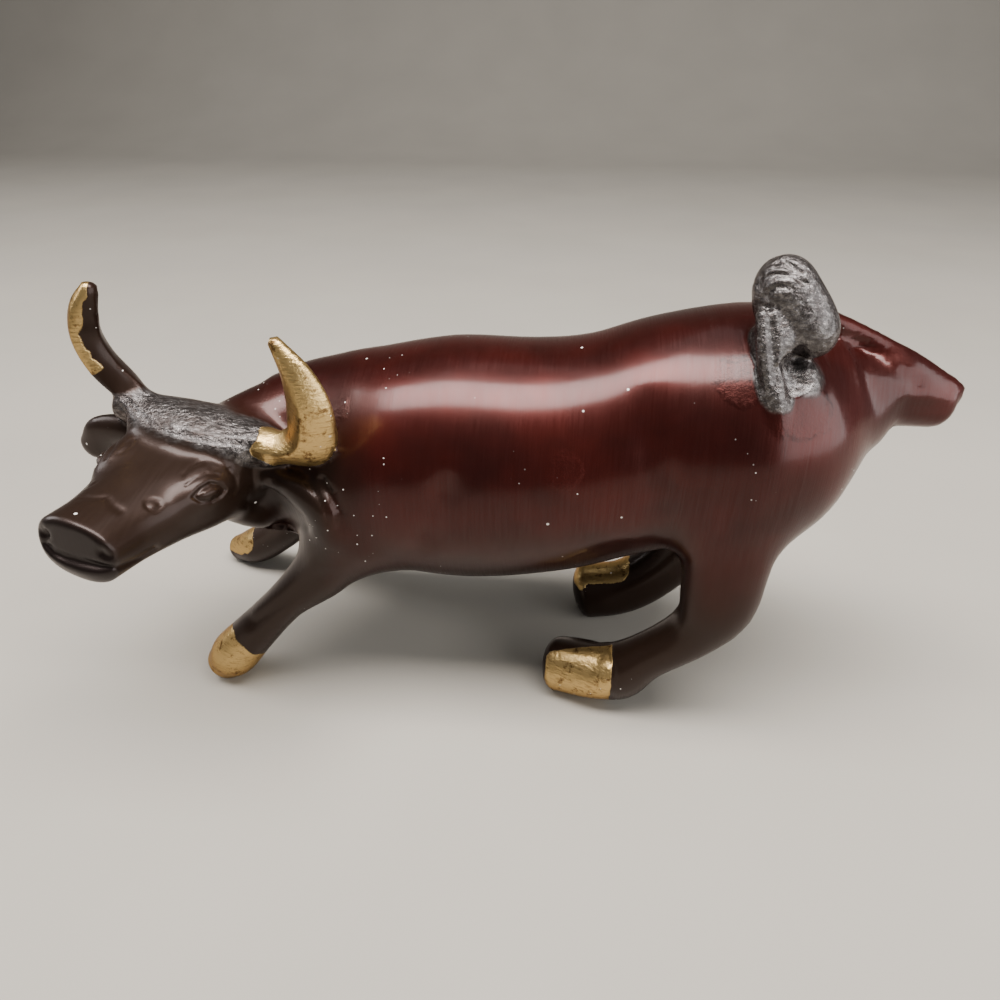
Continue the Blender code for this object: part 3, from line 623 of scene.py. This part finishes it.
def finish_masks(points, normals):
    """Masks from 0 to 1: bare brass, rough cast skin, wrinkled, dark lacquer on the head with painted
    shade low down, and a near black nose with painted shade in the ear hollow.
    """
    left_horn = Loft(from_head(LEFT_HORN), tuple(-HEAD_SIDE), cap=1.2, power=1.25)
    right_horn = Loft(from_head(RIGHT_HORN[2:]), tuple(HEAD_SIDE), cap=1.2, power=1.25)
    local = to_head(points)
    horn_foot = soft_zone(local[:, 0] - HORN_FOOT, 3)
    brass = soft_zone(HORN_MARGIN - left_horn.distance(points), 1.0) * horn_foot
    forward = soft_zone(normals @ unit(FORWARD_FACE) - FORWARD_FROM, FACE_EDGE)
    bare = soft_zone(HORN_MARGIN - right_horn.distance(points), 1.0) * forward
    brass = np.maximum(brass, bare)
    for centre, half in BRASS_ZONES:
        brass = np.maximum(brass, soft_zone(zone_depth(points, centre, half), BRASS_EDGE))
    brass = np.maximum(brass, soft_zone(block_depth(points, *LEFT_HIND_BARE), 1.5))
    upward = soft_zone(normals @ unit(UPPER_FACE) - UPPER_FROM, FACE_EDGE)
    brass = np.maximum(brass, soft_zone(block_depth(points, *RIGHT_HIND_BARE), 2.5) * upward)
    brass = brass * (1 - soft_zone(zone_depth(points, *TOE_SHADE), BRASS_EDGE))
    crest = Loft(from_head(CREST), tuple(HEAD_UP))
    rough = soft_zone(CREST_MARGIN - crest.distance(points), 3)
    tail = [Ball(row[:3], (row[3],) * 3) for row in TAIL]
    tail += [Ball(centre, half) for centre, half in TAIL_FILLERS] + [Loft(TAIL_ROOT, (1, 0, 0))]
    above_root = soft_zone(points[:, 2] - TAIL_FOOT, 3)
    for form in tail:
        rough = np.maximum(rough, soft_zone(TAIL_MARGIN - form.distance(points), 1.5) * above_root)
    wrinkled = rough
    for centre, half in WRINKLED_ZONES:
        wrinkled = np.maximum(wrinkled, soft_zone(zone_depth(points, centre, half), 3))
    head = soft_zone(DARK_HEAD_WIDTH - np.abs(local[:, 0]), 8)
    head = head * soft_zone(local[:, 1] - DARK_HEAD_BACK, 14)
    # Painted shade: the lacquer gets darker towards the bottom, below the shade height
    legs = soft_zone(LOW_SHADE_HEIGHT - points[:, 2], 24)
    dark = np.maximum(head, legs)
    black_nose_and_hollow_shade = soft_zone(local[:, 1] - NOSE_FRONT, 1.2) * soft_zone(NOSE_WIDTH - np.abs(local[:, 0]), 2)
    # The ear hollow's darkness is painted shade; the nose plane is only made nearly black
    black_nose_and_hollow_shade = np.maximum(black_nose_and_hollow_shade, soft_zone(zone_depth(points, *EAR_HOLLOW_SHADE), 4))
    return {
        "bare_brass": brass,
        "rough_cast": rough,
        "wrinkled_skin": wrinkled,
        "dark_head_and_low_shade": dark,
        "black_nose_and_hollow_shade": black_nose_and_hollow_shade,
    }


def refine(mesh, near):
    """Halve the faces that have a point in the zone, given as one flag to each point."""
    skin = bmesh.new()
    skin.from_mesh(mesh)
    skin.verts.ensure_lookup_table()
    picked = {skin.verts[index] for index in np.flatnonzero(near)}
    edges = {edge for vertex in picked for face in vertex.link_faces for edge in face.edges}
    edges = sorted(edges, key=lambda edge: edge.index)
    bmesh.ops.subdivide_edges(skin, edges=edges, cuts=1, use_grid_fill=True)
    skin.to_mesh(mesh)
    skin.free()
    mesh.update()


def cast_bull():
    """The whole casting as one closed mesh, with its masks, in the part's place."""
    forms = figure_forms()
    rough = bmesh.new()
    for form in forms:
        add_skin(rough, form)
    mesh = bpy.data.meshes.new("bull_casting")
    rough.to_mesh(mesh)
    rough.free()
    casting = bpy.data.objects.new("bull_casting", mesh)
    bpy.context.scene.collection.objects.link(casting)
    for rounds in JOIN_ROUNDS:
        casting.data = applied(casting, "skin", "REMESH", mode="VOXEL", voxel_size=CAST_CELL * MM)
        points = settle(casting.data, forms, rounds)
    mesh = casting.data
    zones = [(from_head([place])[0], reach) for place, reach in FINE_HEAD] + FINE_FIGURE
    wide = [zone for zone in zones if zone[1] > WIDE_FROM]
    close = [zone for zone in zones if zone[1] <= CLOSE_TO]
    for level in (wide, close):
        near = np.zeros(len(points), bool)
        for place, reach in level:
            near |= np.linalg.norm(points - np.array(place), axis=1) < reach
        refine(mesh, near)
        points = settle(mesh, forms, FINE_ROUNDS)
    normals = np.empty(points.size, np.float32)
    mesh.vertex_normals.foreach_get("vector", normals)
    for name, mask in finish_masks(points, normals.reshape(-1, 3)).items():
        layer = mesh.attributes.new(name, "FLOAT", "POINT")
        layer.data.foreach_set("value", mask.astype(np.float32))
    points = points * MM
    points[:, 2] = np.maximum(points[:, 2], 0)
    own_low, own_high = points.min(axis=0), points.max(axis=0)
    middle = (own_low + own_high) / 2
    part_middle = (np.array(CAST_LOW) + np.array(CAST_HIGH)) / 2
    shift = part_middle - middle
    shift[2] = CAST_LOW[2] - own_low[2]
    points = points + shift
    mesh.vertices.foreach_set("co", points.ravel())
    mesh.shade_smooth()
    mesh.update()
    triangles = sum(len(face.vertices) - 2 for face in mesh.polygons)
    print("casting", triangles, "triangles, shift mm", (shift / MM).round(2))
    return casting


class Value:
    """A node's output that Python operators work on; each operation adds one Math node."""

    def __init__(self, recipe, socket):
        self.recipe = recipe
        self.socket = socket

    def _math(self, operation, *terms):
        return self.recipe.add("Math", {"operation": operation}, dict(enumerate(terms)))

    def __add__(self, other):
        return self._math("ADD", self, other)

    __radd__ = __add__

    def __sub__(self, other):
        return self._math("SUBTRACT", self, other)

    def __rsub__(self, other):
        return self._math("SUBTRACT", other, self)

    def __mul__(self, other):
        return self._math("MULTIPLY", self, other)

    __rmul__ = __mul__

    def largest(self, other):
        return self._math("MAXIMUM", self, other)

    def step(self, low, high):
        """0 below low, 1 above high and a smooth rise between."""
        settings = {"interpolation_type": "SMOOTHSTEP"}
        return self.recipe.add("MapRange", settings, {"Value": self, "From Min": low, "From Max": high})


class Recipe:
    """The nodes of one material."""

    def __init__(self, name):
        self.material = bpy.data.materials.new(name)
        self.material.use_nodes = True
        self.tree = self.material.node_tree
        self.shader = self.tree.nodes["Principled BSDF"]
        self.place = self.add("TexCoord", output="Object")

    def add(self, kind, settings=None, inputs=None, output=0):
        """One node of a kind, its settings first and then its sockets' values and links."""
        node = self.tree.nodes.new("ShaderNode" + kind)
        for key, setting in (settings or {}).items():
            setattr(node, key, setting)
        for key, term in (inputs or {}).items():
            self.feed(node.inputs[key], term)
        return Value(self, node.outputs[output])

    def feed(self, socket, term):
        if isinstance(term, Value):
            self.tree.links.new(term.socket, socket)
        elif isinstance(term, tuple) and len(term) == 3 and socket.type == "RGBA":
            socket.default_value = (*term, 1)
        else:
            socket.default_value = term

    def mask(self, name):
        return self.add("Attribute", {"attribute_name": name}, output="Fac")

    def stretched(self, scale, turn=(0, 0, 0)):
        return self.add("Mapping", None, {"Vector": self.place, "Scale": scale, "Rotation": turn})

    def noise(self, scale, detail=2.0, roughness=0.5, place=None):
        inputs = {"Vector": place or self.place, "Scale": scale, "Detail": detail, "Roughness": roughness}
        return self.add("TexNoise", {"noise_dimensions": "3D"}, inputs)

    def specks(self, scale, size, place=None):
        """Small round dots: 1 inside, by the distance to the nearest of many random points."""
        near = self.add("TexVoronoi", {"feature": "F1"}, {"Vector": place or self.place, "Scale": scale})
        return 1 - near.step(size * 0.6, size)

    def blend(self, share, first, second):
        settings = {"data_type": "RGBA", "clamp_factor": True}
        return self.add("Mix", settings, {0: share, 6: first, 7: second}, output=2)

    def bump(self, height, distance, strength=1.0):
        return self.add("Bump", None, {"Height": height, "Distance": distance, "Strength": strength})

    def set(self, **sockets):
        for name, term in sockets.items():
            self.feed(self.shader.inputs[name.replace("_", " ")], term)
        return self.material


# Colours of the finish, from the lacquer down to the metal
OXBLOOD = (0.055, 0.007, 0.005)
OXBLOOD_DEEP = (0.022, 0.004, 0.003)
# Umber: the head's own dark colour, also used as painted shade low on the body and legs
UMBER_AND_LOW_SHADE = (0.015, 0.008, 0.005)
# Near black: the nose plane's colour, and painted shade in the hollow below the left ear
NEAR_BLACK_AND_HOLLOW_SHADE = (0.004, 0.003, 0.003)
GUNMETAL = (0.050, 0.044, 0.042)
# Lighter gunmetal, mottled in as painted glints
GUNMETAL_GLINT = (0.20, 0.187, 0.182)
BRASS = (0.54, 0.37, 0.15)
BRASS_TARNISH = (0.16, 0.09, 0.035)
DUST = (0.75, 0.72, 0.68)
# Sockets of the casting's shader that are the same all over
STEADY_SOCKETS = {
    "Coat Roughness": 0.17,
    "Coat IOR": 1.4,
    "Specular IOR Level": 0.4,
    "Specular Tint": (0.55, 0.42, 0.40, 1),
}
# Depth of the finest relief for a height of 1, in metres
RELIEF = 0.00012
# Heights of the relief: brush marks, worn wrinkles, rough skin, pitted brass and the soft swell
STREAK_HEIGHT = 0.22
WRINKLE_HEIGHT = 1.6
ROUGH_HEIGHT = 3.6
PIT_HEIGHT = 0.9
SWELL_HEIGHT = 2.2


def mix(share, first, second):
    """The first value where the share is 0, the second where it is 1."""
    return first + (second - first) * share


def cast_finish():
    """Dark red metal flake under clear lacquer, worn to the brass on horns and hooves."""
    recipe = Recipe("oxblood_lacquer_over_brass")
    brass = recipe.mask("bare_brass")
    rough = recipe.mask("rough_cast")
    wrinkled = recipe.mask("wrinkled_skin")
    dark = recipe.mask("dark_head_and_low_shade")

    # The masks, with ragged edges
    ragged = recipe.noise(420, 4, 0.6)
    brass = (brass + (ragged - 0.5) * 0.6).step(0.44, 0.56)
    rough = (rough + (recipe.noise(260, 3) - 0.5) * 0.5).step(0.3, 0.7)
    rough = rough * (1 - brass)
    wrinkled = (wrinkled + (recipe.noise(300, 3) - 0.5) * 0.8).step(0.35, 0.75) * (1 - brass)

    # Lacquer: cloudy red, brush marks around the body, umber on the head and as painted shade low on the
    # body, near black on the nose and as painted shade in the ear hollow, gunmetal with painted glints
    # where rough
    cloud = recipe.noise(45, 3, 0.55)
    streak = recipe.noise(1, 3, 0.65, recipe.stretched((4200, 130, 130)))
    brushed = streak.step(0.35, 0.65)
    lacquer = recipe.blend(cloud.step(0.3, 0.75), OXBLOOD_DEEP, OXBLOOD)
    lacquer = recipe.blend(dark, lacquer, UMBER_AND_LOW_SHADE)
    # Near black on the nose, and painted shade in the ear hollow
    lacquer = recipe.blend(recipe.mask("black_nose_and_hollow_shade") * 0.8, lacquer, NEAR_BLACK_AND_HOLLOW_SHADE)
    # The bright mottles in the gunmetal are painted glints
    glint_mottle = recipe.noise(1, 4, 0.65, recipe.stretched((700, 1900, 1300), (0, 0, 0.5))).step(0.38, 0.74)
    gunmetal = recipe.blend(glint_mottle, GUNMETAL, GUNMETAL_GLINT)
    lacquer = recipe.blend(rough, lacquer, gunmetal)
    # Bare brass with tarnish, pits and scratches, then the dust over everything
    pits = recipe.noise(900, 3, 0.7)
    scratch = recipe.noise(1, 3, 0.6, recipe.stretched((500, 500, 2400), (0.5, 0.6, 0)))
    tarnish = (recipe.noise(330, 4, 0.65) * 0.6 + pits * 0.4).step(0.53, 0.64)
    metal = recipe.blend(tarnish, BRASS, BRASS_TARNISH)
    metal = recipe.blend(scratch.step(0.52, 0.7) * 0.5, metal, BRASS_TARNISH)
    colour = recipe.blend(brass, lacquer, metal)
    dust = recipe.specks(170, 0.055) * recipe.noise(90, 1).step(0.5, 0.56)
    dust = dust.largest(recipe.specks(520, 0.09) * recipe.noise(60, 2).step(0.56, 0.64))
    colour = recipe.blend(dust, colour, DUST)

    # Relief, and what the masks change in the shader
    wrinkle = recipe.noise(600, 4, 0.7)
    swell = recipe.noise(75, 1, 0.4)
    height = streak * STREAK_HEIGHT * (1 - rough) * (1 - dark)
    height = height + wrinkle * (wrinkled * WRINKLE_HEIGHT + rough * ROUGH_HEIGHT)
    height = height + (pits + scratch) * brass * PIT_HEIGHT
    height = height + swell * SWELL_HEIGHT
    normal = recipe.bump(height, RELIEF)
    recipe.set(
        Base_Color=colour,
        Metallic=mix(brass, mix(rough, mix(dark, 0.6, 0.3), 0.8), 0.95) * (1 - dust),
        Roughness=mix(brass, mix(rough, mix(dark, 0.28, 0.33) + brushed * 0.07, 0.26), 0.32),
        Coat_Weight=mix(brass, mix(dark, 0.42, 0.24) + brushed * (1 - dark) * 0.2, 0.05),
        Normal=normal,
    )
    for name, value in STEADY_SOCKETS.items():
        recipe.shader.inputs[name].default_value = value
    return recipe.material


# The floor runs back and curves up into a wall, all pale; lengths in metres
FLOOR_PALE = ((0.29, 0.27, 0.235), (0.34, 0.315, 0.275))
FLOOR_ROUGHNESS = 0.8
FLOOR_WIDTH = 3.0
FLOOR_FRONT = -1.6
FLOOR_BACK = 0.75
SWEEP_RADIUS = 0.4
WALL_TOP = 1.5


def pale_sweep():
    """A strip of quads across the room: flat floor, a quarter circle and a straight wall."""
    angle = np.linspace(0, math.pi / 2, 24)
    wall = FLOOR_BACK + SWEEP_RADIUS
    depth = np.concatenate([[FLOOR_FRONT], FLOOR_BACK + SWEEP_RADIUS * np.sin(angle), [wall]])
    height = np.concatenate([[0], SWEEP_RADIUS * (1 - np.cos(angle)), [WALL_TOP]])
    sides = np.array([-FLOOR_WIDTH / 2, FLOOR_WIDTH / 2])
    corners = np.stack([np.broadcast_to(sides[None], (len(depth), 2)),
                        np.broadcast_to(depth[:, None], (len(depth), 2)),
                        np.broadcast_to(height[:, None], (len(depth), 2))], axis=-1).reshape(-1, 3)
    first = np.arange(len(depth) - 1) * 2
    faces = np.stack([first, first + 1, first + 3, first + 2], axis=-1)
    mesh = bpy.data.meshes.new("pale_floor")
    mesh.from_pydata(corners.tolist(), [], faces.tolist())
    mesh.shade_smooth()
    floor = bpy.data.objects.new("pale_floor", mesh)
    bpy.context.scene.collection.objects.link(floor)
    recipe = Recipe("pale_floor")
    shade = recipe.noise(14, 3)
    recipe.set(Base_Color=recipe.blend(shade, *FLOOR_PALE), Roughness=FLOOR_ROUGHNESS)
    mesh.materials.append(recipe.material)


FIGURE_MIDDLE = (0, 0, 0.045)
WORLD_COLOUR = (0.6, 0.6, 0.62, 1)
WORLD_STRENGTH = 0.22


def soft_light(name, place, target, size, power, colour=(1, 1, 1)):
    """A rectangular area light that faces its target; sizes in metres, power in watts."""
    light = bpy.data.lights.new(name, "AREA")
    light.shape = "RECTANGLE"
    light.size, light.size_y = size
    light.energy = power
    light.color = colour
    lamp = bpy.data.objects.new(name, light)
    lamp.location = place
    aim = mathutils.Vector(target) - mathutils.Vector(place)
    lamp.rotation_euler = aim.to_track_quat("-Z", "Y").to_euler()
    bpy.context.scene.collection.objects.link(lamp)


def studio_lights():
    """A long window overhead, a dim one on each side, a soft room light and a grey world."""
    middle = FIGURE_MIDDLE
    soft_light("ceiling_window", (0.0, -0.06, 0.62), middle, (0.8, 0.26), 14, (1.0, 0.96, 0.93))
    soft_light("left_window", (-0.75, 0.1, 0.45), middle, (0.3, 0.4), 2.5)
    soft_light("right_wall", (0.65, -0.3, 0.25), middle, (0.9, 0.6), 7)
    soft_light("room", (0.1, 0.1, 1.3), middle, (1.2, 1.0), 3)
    world = bpy.data.worlds.new("room")
    world.use_nodes = True
    background = world.node_tree.nodes["Background"]
    background.inputs["Color"].default_value = WORLD_COLOUR
    background.inputs["Strength"].default_value = WORLD_STRENGTH
    bpy.context.scene.world = world


# The camera stands 0.8 body lengths from the figure, tilted down, in the forming frame
CAMERA_PLACE = (14.7, -129.2, 121.0)
CAMERA_TILT = math.radians(32.6)
CAMERA_TURN = math.radians(6.5)
LENS = 26.28
SENSOR = 36
FORMING_TO_PART = (-0.64, 10.91, 0.0)


def camera():
    """The photo's own point of view."""
    lens = bpy.data.cameras.new("camera")
    lens.lens = LENS
    lens.sensor_width = SENSOR
    lens.clip_start = 0.01
    eye = bpy.data.objects.new("camera", lens)
    eye.location = [(place + move) * MM for place, move in zip(CAMERA_PLACE, FORMING_TO_PART)]
    eye.rotation_euler = (math.pi / 2 - CAMERA_TILT, 0, CAMERA_TURN)
    bpy.context.scene.collection.objects.link(eye)
    bpy.context.scene.camera = eye


camera()
studio_lights()
pale_sweep()
bull = cast_bull()
bull.data.materials.append(cast_finish())
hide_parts("bull")
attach(bull, "root")
